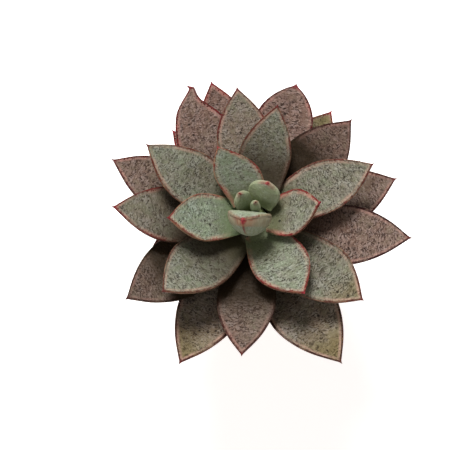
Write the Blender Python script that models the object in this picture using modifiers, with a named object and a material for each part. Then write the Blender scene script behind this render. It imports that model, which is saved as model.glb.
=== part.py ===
"""Potted succulent: a rosette of thick pointed leaves on a short stem, in soil, in a plain clay pot.

Metres, +Z up. The origin is the centre of the pot's underside, and -Y is the plant's front.
Leaves are numbered from the centre outwards, in the order in which the plant grew them:
leaf 0 is the youngest, and each older one sits lower on the stem and 137.5 degrees further round.
"""

from math import atan2, cos, exp, pi, radians, sin

import bmesh
import bpy

MM = 0.001
GAP = 0.3 * MM  # clearance that touching pieces keep

# ---- pot: overall sizes, then walls ----
POT_HEIGHT = 60 * MM
POT_RIM_RADIUS = 35 * MM
POT_FOOT_RADIUS = 25 * MM
POT_WALL = 3.5 * MM
POT_FLOOR = 4 * MM
COLLAR_HEIGHT = 13 * MM
COLLAR_STEP = 2 * MM  # how far the collar stands out from the body
POT_EDGE = 1 * MM  # rounding of the rim and the foot
DRAIN_RADIUS = 3 * MM
DRAIN_COUNT = 4
DRAIN_RING = 13 * MM  # radius of the circle that the drain holes lie on

# ---- soil and stem ----
SOIL_DROP = 3.2 * MM  # from the rim down to the soil at the wall
SOIL_CROWN = 0.8 * MM  # how much higher the soil is at the stem
STEM_RADIUS = 6 * MM
STEM_ROOTED = 12 * MM  # length of stem in the soil
STEM_CHAMFER = 1.5 * MM  # at the stem's foot
STEM_BARE = 4 * MM  # from the rim up to the lowest leaf

# ---- rosette ----
LEAF_COUNT = 32
GOLDEN_ANGLE = 137.5
FIRST_AZIMUTH = 307.0
LEAF_LENGTH = 64 * MM  # of a full-grown leaf, base to tip
LEAF_WIDTH = 27 * MM
LEAF_THICKNESS = 5 * MM
LEAF_PITCH = 0.92 * MM  # along the stem, from one leaf to the next
DOME_LEAVES = 2.2  # how many leaves it takes for the stem's domed tip to widen by two thirds
LEAF_SIDES = 10
LEAF_RINGS = 12

STEM_TOP = POT_HEIGHT + STEM_BARE + LEAF_PITCH * (LEAF_COUNT - 1)

# How single leaves differ from the rule: turned about the stem (degrees), longer and broader
# (ratios), tip swept sideways (share of the length), lifted and curled up (degrees), thicker (ratio),
# and the share of the thickness that lies on the upper side.
HABITS = {
    0: dict(turn=91.1, stretch=1.3, lift=-4.1, curl=-12, broad=0.6, plump=1.1),
    1: dict(turn=-31, stretch=0.74, lift=8, curl=14, broad=0.67, plump=1.15),
    2: dict(turn=28.9, stretch=0.53, lift=10.4, curl=20, broad=0.88, plump=1.5),
    3: dict(turn=5.7, stretch=0.49, sweep=-0.23, lift=41.9, curl=-45, broad=0.95, plump=2.2, upper=0.55),
    4: dict(turn=-10.9, stretch=0.82, sweep=0.27, lift=-4),
    5: dict(turn=18, stretch=0.66, sweep=0.15, lift=3),
    6: dict(turn=-18, stretch=0.79, sweep=0.07, lift=1.6),
    7: dict(turn=17.4, sweep=-0.09, lift=-4.8),
    8: dict(turn=10, stretch=0.79, sweep=0.06, lift=-1),
    9: dict(turn=-2.6, stretch=1.01, lift=-3.2),
    10: dict(turn=13, stretch=0.98, sweep=-0.05, lift=-2, broad=0.92),
    11: dict(turn=-10.9, stretch=0.88, lift=1.9),
    12: dict(turn=-3.4, stretch=0.97, sweep=0.07, lift=-0.9),
    13: dict(stretch=0.96),
    14: dict(turn=-5.5, stretch=0.95, lift=-2),
    15: dict(turn=1.7, stretch=0.97, lift=-3.2),
    16: dict(turn=-1.7, stretch=0.93, lift=0.4, broad=0.95),
    17: dict(turn=-8.9, stretch=1.03, sweep=-0.03, lift=1),
    18: dict(turn=-0.2, stretch=1.02, lift=-0.6),
    19: dict(turn=-4.2, stretch=0.95, sweep=0.07, lift=-0.3, broad=1.07),
    20: dict(turn=-1.3, sweep=-0.05, lift=-3),
    21: dict(turn=-2.4, stretch=1.06, sweep=0.06, lift=-0.7, broad=1.1),
    22: dict(turn=-6.7, lift=0.4),
    23: dict(turn=-6.7, stretch=0.95, lift=0.5),
    24: dict(turn=-3.6, lift=0.6),
    25: dict(turn=-3.5, stretch=1.03, lift=-1.3),
    26: dict(turn=-3.3, stretch=0.68, lift=-4),
    27: dict(turn=-0.9, stretch=0.64, lift=-3.7),
    28: dict(turn=0.5, stretch=0.95, lift=-3.1),
    29: dict(turn=-7.7, stretch=0.6, lift=-9.4),
    30: dict(turn=-14, stretch=0.84, broad=0.6, plump=0.7),
    31: dict(turn=31.6, stretch=0.84, lift=-8.7, broad=0.55, plump=0.5),
}


def clear_scene():
    for thing in list(bpy.data.objects):
        bpy.data.objects.remove(thing, do_unlink=True)


def collection(name):
    group = bpy.data.collections.new(name)
    bpy.context.scene.collection.children.link(group)
    return group


def material(name, color, roughness, metallic=0.0):
    """A plain Principled finish."""
    finish = bpy.data.materials.new(name)
    finish.use_nodes = True
    shader = finish.node_tree.nodes["Principled BSDF"]
    shader.inputs["Base Color"].default_value = (*color, 1.0)
    shader.inputs["Roughness"].default_value = roughness
    shader.inputs["Metallic"].default_value = metallic
    return finish


def rounded(points, radius, steps=2):
    """The outline with each inner corner made an arc of about the given radius."""
    result = [points[0]]
    for before, corner, after in zip(points, points[1:], points[2:]):
        legs = []
        for end in (before, after):
            dx, dz = end[0] - corner[0], end[1] - corner[1]
            length = (dx * dx + dz * dz) ** 0.5
            cut = min(radius, 0.45 * length) / length
            legs.append((corner[0] + dx * cut, corner[1] + dz * cut))
        for step in range(steps + 1):
            u = step / steps
            weights = ((1 - u) ** 2, 2 * u * (1 - u), u * u)
            corners = (legs[0], corner, legs[1])
            result.append(tuple(sum(w * p[axis] for w, p in zip(weights, corners)) for axis in (0, 1)))
    return result + [points[-1]]


def turned(name, outline, steps, finish, group):
    """A body turned from an outline of (radius, height) that runs down its outer side."""
    mesh = bpy.data.meshes.new(name)
    points = [(radius, 0.0, height) for radius, height in outline]
    mesh.from_pydata(points, [(i, i + 1) for i in range(len(points) - 1)], [])
    body = bpy.data.objects.new(name, mesh)
    group.objects.link(body)
    screw = body.modifiers.new("turn", "SCREW")
    screw.steps = steps
    screw.render_steps = steps
    screw.use_merge_vertices = True
    screw.merge_threshold = 0.00001
    screw.use_smooth_shade = True
    mesh.materials.append(finish)
    return body


# ---- pot ----
def pot_wall_radius(height):
    """Radius of the pot's body outside, below the collar, at a height."""
    return POT_FOOT_RADIUS + (POT_RIM_RADIUS - COLLAR_STEP - POT_FOOT_RADIUS) * height / POT_HEIGHT


def pot_bore_radius(height):
    return pot_wall_radius(height) - POT_WALL


def make_pot(group, cutters):
    collar_foot = POT_HEIGHT - COLLAR_HEIGHT
    outline = [
        (0.0, POT_FLOOR),
        (pot_bore_radius(POT_FLOOR), POT_FLOOR),
        (pot_bore_radius(POT_HEIGHT), POT_HEIGHT),
        (POT_RIM_RADIUS, POT_HEIGHT),
        (POT_RIM_RADIUS - 0.4 * COLLAR_STEP, collar_foot),
        (pot_wall_radius(collar_foot), collar_foot - 0.5 * COLLAR_STEP),
        (POT_FOOT_RADIUS, 0.0),
        (0.0, 0.0),
    ]
    clay = material("terracotta", (0.45, 0.17, 0.09), 0.85)
    pot = turned("pot", rounded(outline, POT_EDGE), 48, clay, group)
    for hole in range(DRAIN_COUNT):
        angle = 2 * pi * (hole + 0.5) / DRAIN_COUNT
        bpy.ops.mesh.primitive_cylinder_add(
            vertices=20,
            radius=DRAIN_RADIUS,
            depth=4 * POT_FLOOR,
            location=(DRAIN_RING * cos(angle), DRAIN_RING * sin(angle), 0.0),
        )
        cutter = bpy.context.object
        cutter.name = f"drain_cutter_{hole + 1}"
        for home in list(cutter.users_collection):
            home.objects.unlink(cutter)
        cutters.objects.link(cutter)
        cutter.hide_render = True
        cutter.display_type = "WIRE"
        cut = pot.modifiers.new(f"drain_{hole + 1}", "BOOLEAN")
        cut.operation = "DIFFERENCE"
        cut.solver = "EXACT"
        cut.object = cutter


# ---- soil and stem ----
SOIL_LEVEL = POT_HEIGHT - SOIL_DROP
STEM_FOOT = SOIL_LEVEL + SOIL_CROWN - STEM_ROOTED


def make_soil(group):
    well = STEM_RADIUS + GAP
    bottom = POT_FLOOR + GAP
    outline = [
        (0.0, STEM_FOOT - GAP),
        (well, STEM_FOOT - GAP),
        (well, SOIL_LEVEL + SOIL_CROWN),
        (pot_bore_radius(SOIL_LEVEL) - GAP, SOIL_LEVEL),
        (pot_bore_radius(bottom) - GAP, bottom),
        (0.0, bottom),
    ]
    turned("soil", rounded(outline, POT_EDGE), 40, material("soil", (0.06, 0.04, 0.03), 0.95), group)


def stem_radius(rank):
    """Radius of the stem where a leaf sits: its tip is a dome that the youngest leaves stand on."""
    return STEM_RADIUS * (1 - exp(-rank / DOME_LEAVES))


def stem_facing(rank):
    """The angle above level that the stem's skin faces where a leaf sits."""
    return atan2(STEM_RADIUS * exp(-rank / DOME_LEAVES) / DOME_LEAVES, LEAF_PITCH)


def leaf_height(rank):
    return STEM_TOP - LEAF_PITCH * rank


def make_stem(group):
    ranks = (0, 0.5, 1, 1.5, 2, 3, 4, 6, 8, 12)
    outline = [(stem_radius(rank), leaf_height(rank)) for rank in ranks]
    outline += [(STEM_RADIUS, STEM_FOOT + STEM_CHAMFER), (STEM_RADIUS - STEM_CHAMFER, STEM_FOOT), (0.0, STEM_FOOT)]
    turned("stem", outline, 24, material("stem", (0.30, 0.24, 0.15), 0.8), group)


# ---- leaves ----
def growth(rank):
    """Place and size of a leaf, from its number and its habit."""
    habit = HABITS.get(rank, {})
    age = rank / (LEAF_COUNT - 1)
    length = LEAF_LENGTH * (1 - exp(-(rank + 1) / 7.2)) * habit.get("stretch", 1.0)
    lift = 6 + 24 * exp(-rank / 12) + 60 * exp(-rank / 1.5) + habit.get("lift", 0.0)
    plump = 1.04 - 0.46 * exp(-rank / 4) - 0.17 * age**2
    return dict(
        azimuth=radians(FIRST_AZIMUTH - GOLDEN_ANGLE * rank + habit.get("turn", 0.0)),
        length=length,
        half_width=0.5 * LEAF_WIDTH * (1 - exp(-(rank + 1.2) / 4.2)) * habit.get("broad", 1.0),
        thickness=LEAF_THICKNESS * plump * habit.get("plump", 1.0),
        lift=radians(lift),
        bend=radians(26 - 0.6 * rank + habit.get("curl", 0.0)),
        sweep=length * habit.get("sweep", 0.0),
        base=0.5,
        upper=habit.get("upper", UPPER_SHARE),
        rank=rank,
    )


def half_width(leaf, along):
    """Half of the leaf's width: it widens from the base, then closes to a drawn-out point."""
    widest = 0.56
    if along < widest:
        spread = sin(0.5 * pi * along / widest) ** 1.2
        share = leaf["base"] + (1 - leaf["base"]) * spread
    else:
        beyond = (along - widest) / (1 - widest)
        share = (1 - beyond**1.75) * (1 - 0.35 * beyond**8)
    return leaf["half_width"] * share


def depth(leaf, along):
    """Thickness at the midline."""
    swell = 0.3 + 0.7 * sin(0.5 * pi * min(1.0, along / 0.45))
    beyond = max(0.0, (along - 0.45) / 0.55)
    return leaf["thickness"] * swell * (1 - beyond**2) ** 0.6


UPPER_SHARE = 0.25  # of the thickness, above the leaf's mid surface, unless its habit says otherwise
CHANNEL = 0.14  # how far the edges rise, as a share of the half width
EDGE_ROLL = radians(5)  # each leaf lifts one edge over its neighbour


def leaf_point(leaf, along, around):
    """A point of the leaf's skin.

    The midline is a circular arc that leaves the stem below the leaf's lift and ends above it.
    Across it, the section is a lens, flatter above than below, with its edges lifted.
    """
    bend, start = leaf["bend"], leaf["lift"] - 0.5 * leaf["bend"]
    radius = 0.5 * leaf["length"] / sin(0.5 * bend)
    slope = start + bend * along
    root = leaf["root"]
    out = root[0] + radius * (sin(slope) - sin(start))
    up = root[1] + radius * (cos(start) - cos(slope))

    half = half_width(leaf, along)
    share = leaf["upper"] if sin(around) > 0 else 1 - leaf["upper"]
    side = half * cos(around)
    rise = share * depth(leaf, along) * sin(around) + CHANNEL * half * (cos(around) ** 2 - 0.3)
    roll = EDGE_ROLL * sin(0.5 * pi * along)
    side, rise = side * cos(roll) - rise * sin(roll), side * sin(roll) + rise * cos(roll)

    out -= rise * sin(slope)
    up += rise * cos(slope)
    side += leaf["sweep"] * along**2
    turn = leaf["azimuth"]
    return (out * cos(turn) - side * sin(turn), out * sin(turn) + side * cos(turn), up)


def leaf_root(leaf):
    """Where the midline starts: off the stem's skin, so that neither edge of the base touches it."""
    start = leaf["lift"] - 0.5 * leaf["bend"]
    lean = start - stem_facing(leaf["rank"])
    above = leaf["upper"] * depth(leaf, 0.0) + CHANNEL * half_width(leaf, 0.0)
    below = (1 - leaf["upper"]) * depth(leaf, 0.0)
    clear = GAP + max(above * sin(lean), -below * sin(lean))
    return (stem_radius(leaf["rank"]) + clear * cos(start), leaf_height(leaf["rank"]) + clear * sin(start))


def make_leaf(rank, group):
    """A sphere whose rings are laid out along the leaf: its lowest pole is the middle of the base."""
    leaf = growth(rank)
    leaf["root"] = leaf_root(leaf)
    shape = bmesh.new()
    bmesh.ops.create_uvsphere(shape, u_segments=LEAF_SIDES, v_segments=LEAF_RINGS, radius=1.0)
    for vertex in shape.verts:
        x, y, z = vertex.co
        across = (x * x + y * y) ** 0.5
        ring = round(LEAF_RINGS * (1 - atan2(across, z) / pi))
        step = max(0, ring - 1) / (LEAF_RINGS - 1)
        along = 0.55 * step + 0.45 * sin(0.5 * pi * step)
        if ring == 0:
            vertex.co = [
                0.5 * (a + b) for a, b in zip(leaf_point(leaf, 0.0, 0.5 * pi), leaf_point(leaf, 0.0, -0.5 * pi))
            ]
        else:
            vertex.co = leaf_point(leaf, along, atan2(y, x))
    name = f"leaf_{rank + 1:02d}"
    mesh = bpy.data.meshes.new(name)
    shape.to_mesh(mesh)
    shape.free()
    mesh.shade_smooth()
    mesh.set_sharp_from_angle(angle=radians(50))
    green, mauve = (0.20, 0.25, 0.17), (0.19, 0.14, 0.12)
    age = min(1.0, rank / 18)
    mesh.materials.append(material(name, [g + (m - g) * age for g, m in zip(green, mauve)], 0.6))
    group.objects.link(bpy.data.objects.new(name, mesh))


def main():
    clear_scene()
    parts = collection("potted_succulent")
    cutters = collection("cutters")
    make_pot(parts, cutters)
    make_soil(parts)
    make_stem(parts)
    for rank in range(LEAF_COUNT):
        make_leaf(rank, parts)


main()
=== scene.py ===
# %% [markdown]
# # A potted succulent
# The plant is a rosette: thirty-two thick, pointed leaves leave a short stem one after another,
# each 137.5 degrees further round than the last, so that no leaf shades the one below it.
# It grows in gritty soil, in a small plain clay pot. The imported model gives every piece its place,
# and each cell below gives one piece the form and the skin that it has on a real plant.

# %% Load the frame
from math import atan2, cos, exp, pi, radians, sin, sqrt

import bpy
import numpy as np
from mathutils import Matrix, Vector


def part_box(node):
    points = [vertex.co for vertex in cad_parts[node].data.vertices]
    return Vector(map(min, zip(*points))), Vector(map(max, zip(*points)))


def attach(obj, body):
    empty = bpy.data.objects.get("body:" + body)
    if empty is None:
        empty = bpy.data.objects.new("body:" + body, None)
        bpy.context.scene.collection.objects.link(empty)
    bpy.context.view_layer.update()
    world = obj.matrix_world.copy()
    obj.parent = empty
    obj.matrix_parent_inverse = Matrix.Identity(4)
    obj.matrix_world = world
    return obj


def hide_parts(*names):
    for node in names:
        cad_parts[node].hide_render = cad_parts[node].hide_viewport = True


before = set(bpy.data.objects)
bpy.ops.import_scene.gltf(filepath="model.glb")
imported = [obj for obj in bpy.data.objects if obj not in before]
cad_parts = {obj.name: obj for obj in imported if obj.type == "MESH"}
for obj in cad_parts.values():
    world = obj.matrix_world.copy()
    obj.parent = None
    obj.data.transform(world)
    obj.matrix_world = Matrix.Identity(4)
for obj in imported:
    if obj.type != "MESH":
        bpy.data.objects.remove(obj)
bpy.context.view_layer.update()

MM = 0.001

# %% [markdown]
# ## Surfaces from arrays
# A leaf, a pot and a stem are all tubes of rings, so one helper can close any of them into a mesh.
# Working on whole arrays keeps the shape a formula, which is easy to read and quick to change.
# What the finish needs to know about the surface, such as how far a point is from the leaf's edge,
# is stored on the points as an attribute, so that colour follows the form exactly.

# %% Close a tube of rings into a mesh
def tube_mesh(name, rings, finish, marks={}):
    """A closed skin over rings[station, side] = (x, y, z): quads between the rings, a fan at each end.

    The centre of an end fan is the mean of its ring. Marks are arrays [station, side, ...] that become
    point attributes. If the volume that the faces enclose is negative, their order is turned round.
    """
    stations, sides = rings.shape[:2]
    index = np.arange(stations * sides).reshape(stations, sides)
    beside = np.roll(index, -1, axis=1)
    quads = np.stack([index[:-1], beside[:-1], beside[1:], index[1:]], axis=-1).reshape(-1, 4)
    first, last = np.full(sides, stations * sides), np.full(sides, stations * sides + 1)
    fans = np.vstack([
        np.stack([first, beside[0], index[0]], axis=-1),
        np.stack([last, index[-1], beside[-1]], axis=-1),
    ])

    def with_ends(values):
        flat = values.reshape(stations * sides, -1)
        return np.vstack([flat, values[0].mean(0).reshape(1, -1), values[-1].mean(0).reshape(1, -1)])

    points = with_ends(rings)
    corners = [points[quads[:, i]] for i in range(4)]
    volume = np.einsum("ij,ij->", corners[0], np.cross(corners[1], corners[2]))
    volume += np.einsum("ij,ij->", corners[0], np.cross(corners[2], corners[3]))
    if volume < 0:
        quads, fans = quads[:, ::-1], fans[:, ::-1]
    mesh = bpy.data.meshes.new(name)
    mesh.from_pydata(points.tolist(), [], quads.tolist() + fans.tolist())
    mesh.shade_smooth()
    for mark, values in marks.items():
        kind, field = ("FLOAT", "value") if values.ndim == 2 else ("FLOAT_VECTOR", "vector")
        layer = mesh.attributes.new(mark, kind, "POINT")
        layer.data.foreach_set(field, with_ends(values).astype(np.float32).ravel())
    piece = bpy.data.objects.new(name, mesh)
    bpy.context.scene.collection.objects.link(piece)
    mesh.materials.append(finish)
    return piece


# %% Smooth bumps for the shapes
def bumps(spots, size, seed=0):
    """Smooth noise between -1 and 1 whose bumps are about `size` apart, at spots[..., 3].

    Every corner of a cubic lattice has a value hashed from its whole-number place, and a point
    takes the eased mix of the eight corners round it.
    """
    place = np.asarray(spots, float) / size
    cell = np.floor(place).astype(np.int64)
    part = place - cell
    part = part * part * (3 - 2 * part)
    total = np.zeros(place.shape[:-1])
    for corner in np.ndindex(2, 2, 2):
        key = (cell + np.array(corner)) @ np.array([73856093, 19349663, 83492791]) + seed * 9176
        key = (key ^ (key >> 13)) * 1274126177 & 0xFFFFFFFF
        value = ((key ^ (key >> 15)) & 0xFFFF) / 32767.5 - 1
        total += value * np.prod(np.where(corner, part, 1 - part), axis=-1)
    return total


def eased(low, high, value):
    """0 below low, 1 above high, and an S-shaped rise between them."""
    share = np.clip((value - low) / (high - low), 0, 1)
    return share * share * (3 - 2 * share)


trial = bumps(np.random.default_rng(1).random((4000, 3)), 0.1)
print("bumps run from", round(trial.min(), 2), "to", round(trial.max(), 2))

# %% [markdown]
# ## Finishes from expressions
# A finish is a small program of shader nodes. Written as arithmetic it stays readable: `Signal` wraps
# one number that varies over the surface, and adding or multiplying it places a Math node.
# `Finish` owns one material and has a single method that adds any other node.

# %% Signals and finishes
class Signal:
    """A number that varies over the surface. Arithmetic on it adds Math nodes."""

    def __init__(self, finish, socket):
        self.finish, self.socket = finish, socket

    def math(self, operation, *values):
        made = self.finish.node("Math", dict(operation=operation), dict(enumerate(values)))
        return Signal(self.finish, made.outputs[0])

    def __add__(self, other):
        return self.math("ADD", self, other)

    def __sub__(self, other):
        return self.math("SUBTRACT", self, other)

    def __rsub__(self, other):
        return self.math("SUBTRACT", other, self)

    def __mul__(self, other):
        return self.math("MULTIPLY", self, other)

    __radd__, __rmul__ = __add__, __mul__

    def clipped(self):
        return self.math("MINIMUM", self.math("MAXIMUM", self, 0.0), 1.0)

    def sine(self):
        return self.math("SINE", self)

    def rise(self, low, high):
        """0 where the signal is below low, 1 above high, an S-shaped rise between. It may fall instead."""
        inputs = {"Value": self, "From Min": low, "From Max": high}
        made = self.finish.node("MapRange", dict(interpolation_type="SMOOTHSTEP"), inputs)
        return Signal(self.finish, made.outputs["Result"])


def paint(red, green, blue):
    """A colour as a painter names it, 0 to 255, in the linear light that the shader works in."""
    levels = np.array([red, green, blue]) / 255
    linear = np.where(levels <= 0.04045, levels / 12.92, ((levels + 0.055) / 1.055) ** 2.4)
    return (*linear.tolist(), 1.0)


class Finish:
    """One material with a Principled surface."""

    def __init__(self, name, **constants):
        self.material = bpy.data.materials.new(name)
        self.material.use_nodes = True
        self.tree = self.material.node_tree
        self.surface = self.tree.nodes["Principled BSDF"]
        for constant, value in constants.items():
            socket = constant.replace("_", " ").title().replace("Ior", "IOR")
            self.surface.inputs[socket].default_value = value

    def feed(self, socket, value):
        if isinstance(value, Signal):
            value = value.socket
        if isinstance(value, bpy.types.NodeSocket):
            self.tree.links.new(value, socket)
        else:
            socket.default_value = value

    def node(self, kind, settings={}, inputs={}):
        """Adds a node: its settings are set first, then its sockets get values or links."""
        made = self.tree.nodes.new("ShaderNode" + kind)
        for setting, value in settings.items():
            setattr(made, setting, value)
        for socket, value in inputs.items():
            self.feed(made.inputs[socket], value)
        return made

    def attribute(self, name):
        return self.node("Attribute", dict(attribute_name=name))

    def split(self, vector):
        """The three numbers of a vector, as signals."""
        made = self.node("SeparateXYZ", {}, {0: vector})
        return [Signal(self, socket) for socket in made.outputs]

    def stretched(self, vector, scale):
        return self.node("VectorMath", dict(operation="MULTIPLY"), {0: vector, 1: scale}).outputs[0]

    def noise(self, place, size, detail=2.0, roughness=0.5, twist=0.0):
        """Soft noise around 0.5, with features about `size` metres apart."""
        inputs = {"Vector": place, "Scale": 1 / size, "Detail": detail, "Roughness": roughness}
        return Signal(self, self.node("TexNoise", {}, inputs | {"Distortion": twist}).outputs[0])

    def cells(self, place, size):
        """The distance from the middle of scattered cells that are about `size` metres apart."""
        inputs = {"Vector": place, "Scale": 1 / size}
        return Signal(self, self.node("TexVoronoi", dict(feature="F1"), inputs).outputs["Distance"])

    def mixed(self, share, below, above):
        """The colour below where share is 0, and the colour above where it is 1."""
        made = self.node("Mix", dict(data_type="RGBA"), {0: share, 6: below, 7: above})
        return made.outputs[2]

    def relief(self, height, distance, strength=1.0):
        """Bumps of about `distance` metres where height goes from 0 to 1."""
        made = self.node("Bump", {}, {"Strength": strength, "Distance": distance, "Height": height})
        self.feed(self.surface.inputs["Normal"], made.outputs[0])

    def paint_with(self, color, roughness):
        self.feed(self.surface.inputs["Base Color"], color)
        self.feed(self.surface.inputs["Roughness"], roughness)
        print(self.material.name, "has", len(self.tree.nodes), "nodes")
        return self.material


# %% [markdown]
# ## The leaf skin
# The leaves are covered in a pale waxy bloom over green flesh. Sun turns the outer, older leaves
# mauve, and every margin carries a fine dark red line with a pinkish band inside it.
# The bloom is broken by wrinkles about two millimetres apart and by dark specks. All of it follows
# the leaf, so the pattern is drawn on attributes that the leaf's own formula gives:
# `skin` is the place on the leaf (across, along, and a separate depth for each leaf),
# `zone` holds the distance from the margin, the place between base and tip, and top or underside,
# `tint` and `tone` hold the leaf's colouring and its painted shade, and `rim` says how plainly its margin
# is drawn; where `rim` is low, on the buds, painted light brightens the leaf.

# %% What the leaf finish reads
class LeafFinish(Finish):
    """The finish of all leaves: the marks on their points, and the noises that its layers share."""

    def __init__(self):
        super().__init__("leaf_skin", ior=1.4, specular_ior_level=0.3)
        self.skin = self.attribute("skin").outputs["Vector"]
        self.margin, self.along, self.top = self.split(self.attribute("zone").outputs["Vector"])
        self.age, self.flush, self.dried = self.split(self.attribute("tint").outputs["Vector"])
        # The tone holds olive, painted shade and the seam.
        self.olive, self.dusk, self.seam = self.split(self.attribute("tone").outputs["Vector"])
        self.rim = Signal(self, self.attribute("rim").outputs["Fac"])
        self.wander = self.noise(self.skin, 10 * MM, detail=2)
        self.patches = self.noise(self.skin, 3.4 * MM, detail=4, roughness=0.62)
        self.grain = self.noise(self.skin, 0.9 * MM, detail=2, roughness=0.7)

    def by_age(self, young, old, age=None):
        """The young colour turning to the old one, each as red, green and blue from 0 to 255."""
        return self.mixed(self.age if age is None else age, paint(*young), paint(*old))


# %% [markdown]
# ### Wrinkles, stipple and specks
# A leaf that loses water creases across its length. The creases are the troughs of sine waves that
# run along the leaf, and noise pushes the waves to and fro until they run together and break up.
# Stipple and specks are the middles of scattered cells.

# %% Wrinkles, stipple and specks
WAVE_LENGTH, WAVE_PUSH = 2.0 * MM, 28


def crease(leaf):
    """Adds the ridges, wrinkles, stipple and specks of a leaf, each between 0 and 1."""
    bending = leaf.noise(leaf.stretched(leaf.skin, (1.0, 0.6, 1.0)), 2.6 * MM, detail=2, roughness=0.55)
    push = leaf.noise(leaf.stretched(leaf.skin, (0.75, 1.0, 1.0)), 1.9 * MM, detail=3, roughness=0.62)
    onward = leaf.split(leaf.skin)[1]
    waves = (onward * (2 * pi / WAVE_LENGTH) + push * WAVE_PUSH).sine()
    smooth = leaf.along.rise(0.1, 0.45) * leaf.rim.clipped()
    broken = (0.25 + leaf.patches.rise(0.36, 0.56) * 0.75) * leaf.grain.rise(0.4, 0.54)
    leaf.blotches = bending.rise(0.4, 0.62)
    leaf.ridges = waves.rise(0.1, 0.95) * leaf.grain.rise(0.44, 0.6)
    leaf.wrinkles = waves.rise(0.1, -0.6) * broken * smooth
    leaf.stipple = leaf.cells(leaf.skin, 1.5 * MM).rise(0.3, 0.16) * bending.rise(0.45, 0.6)
    leaf.dots = leaf.stipple * smooth
    leaf.specks = leaf.cells(leaf.skin, 5.0 * MM).rise(0.14, 0.08) * leaf.wander.rise(0.48, 0.56)


# %% [markdown]
# ### The two faces
# The upper face is built up as a painter would, from the flesh to the bloom to the dark marks, each
# layer mixed over the last by a mask. The underside has fewer layers: less bloom and fewer creases.

# %% Colour of the two faces
def upper_face(leaf):
    """Green or mauve flesh under a pale bloom, olive at the tip, painted shade at the base, with dark
    marks.
    """
    age, along, grain, wander = leaf.age, leaf.along, leaf.grain, leaf.wander
    reddened = (age + (leaf.patches - 0.5) * 0.8 + (wander - 0.5) * 0.9).clipped()
    color = leaf.by_age((125, 137, 114), (124, 97, 86), reddened)
    color = leaf.mixed(leaf.blotches * 0.5, color, leaf.by_age((140, 142, 134), (136, 110, 104)))
    streaks = leaf.ridges * (0.35 + age * 0.2)
    color = leaf.mixed(streaks, color, leaf.by_age((186, 195, 180), (180, 158, 146)))
    bloom = leaf.patches.rise(0.44, 0.7) * along.rise(0.25, 0.6)
    color = leaf.mixed(bloom * 0.5, color, leaf.by_age((168, 184, 172), (160, 143, 139)))
    tip_tone = (along.rise(0.62, 0.95) + (wander - 0.5) * 0.8).clipped() * leaf.olive
    color = leaf.mixed(tip_tone, color, paint(124, 110, 66))
    # Painted shade at the base: darker olive on young leaves and dark brown on old ones, where the leaves
    # above shade them.
    base_shade = (along.rise(0.42, 0.12) + (wander - 0.5) * 0.9 * along.rise(0.85, 0.4)).clipped()
    color = leaf.mixed(base_shade * 0.8, color, leaf.by_age((84, 100, 62), (88, 68, 44)))
    dark = leaf.by_age((44, 42, 26), (44, 24, 16))
    color = leaf.mixed(leaf.wrinkles * (0.62 + age * 0.2), color, dark)
    color = leaf.mixed(leaf.dots * 0.8, color, dark)
    color = leaf.mixed(leaf.specks * 0.85, color, paint(28, 22, 18))
    return leaf.mixed(leaf.seam * (0.15 + grain.rise(0.55, 0.4) * 0.6), color, paint(40, 28, 24))


def underside(leaf):
    """Green when young and maroon when old, frosted with bloom, and red along a young leaf's keel."""
    color = leaf.by_age((132, 138, 118), (102, 66, 54), leaf.age.rise(0.15, 0.8))
    color = leaf.mixed(leaf.along.rise(0.6, 0.1), color, paint(96, 108, 72))
    frost = leaf.by_age((178, 182, 170), (150, 126, 108), leaf.age.rise(0.1, 0.6))
    color = leaf.mixed(leaf.grain.rise(0.42, 0.66) * 0.4, color, frost)
    return leaf.mixed(leaf.seam * leaf.flush, color, paint(112, 44, 36))


# %% [markdown]
# ### The margin
# Going outwards, the upper face ends in a pale bead, a red line, and a lip that turns under.
# `edge` is the distance from the margin, negative on the underside, with a little noise added,
# so that each band wanders, and `bare` is where the bloom has been rubbed off the margin.

# %% Margin and tip
def margin_over(leaf, color):
    """Lays the bead, the lip, the red line, rust spots and a blush over the colour, and reddens the tip."""
    age, flush, rim, along, wander = leaf.age, leaf.flush, leaf.rim, leaf.along, leaf.wander
    edge = leaf.margin * leaf.top + (leaf.patches - 0.5) * 0.9 * MM
    bare = along.rise(0.1, 0.35) * ((0.3 + wander.rise(0.36, 0.58) * 0.7) * rim + age * 0.45)
    bead = edge.rise(0.7 * MM, 1.1 * MM) * edge.rise(2.6 * MM, 1.4 * MM) * (0.6 + (leaf.grain - 0.5) * 1.2)
    color = leaf.mixed((bead * bare * 0.8).clipped(), color, leaf.by_age((194, 170, 148), (180, 140, 130)))
    lip = edge.rise(-2.2 * MM, -1.2 * MM) * edge.rise(0.5 * MM, 0.1 * MM)
    lip = (lip * 0.75 * rim).clipped() * along.rise(0.05, 0.3)
    color = leaf.mixed(lip, color, leaf.by_age((168, 122, 92), (96, 58, 48)))
    line = edge.rise(-0.1 * MM, 0.1 * MM) * edge.rise(1.05 * MM, 0.65 * MM) * leaf.patches.rise(0.3, 0.5)
    line = (line * (0.65 + flush * 0.25 + age * 0.25) * bare).clipped()
    red = leaf.mixed(flush, leaf.by_age((98, 56, 42), (30, 12, 12)), paint(124, 26, 32))
    color = leaf.mixed(line, color, red)
    spots = leaf.cells(leaf.skin, 1.1 * MM).rise(0.42, 0.26)
    rust = edge.rise(-1.6 * MM, -0.6 * MM) * edge.rise(2.0 * MM, 1.2 * MM) * spots
    rust = (rust * bare * (0.3 + flush * 0.75)).clipped()
    color = leaf.mixed(rust, color, leaf.by_age((112, 34, 28), (34, 18, 16)))
    blush = edge.rise(3.2 * MM, 0.8 * MM) * edge.rise(0.2 * MM, 0.6 * MM) * wander.rise(0.45, 0.62)
    color = leaf.mixed((blush * flush * rim * 0.45).clipped(), color, paint(188, 108, 98))
    return leaf.mixed(leaf.tip * 0.8, color, leaf.mixed(flush, paint(84, 36, 34), paint(168, 40, 60)))


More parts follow.
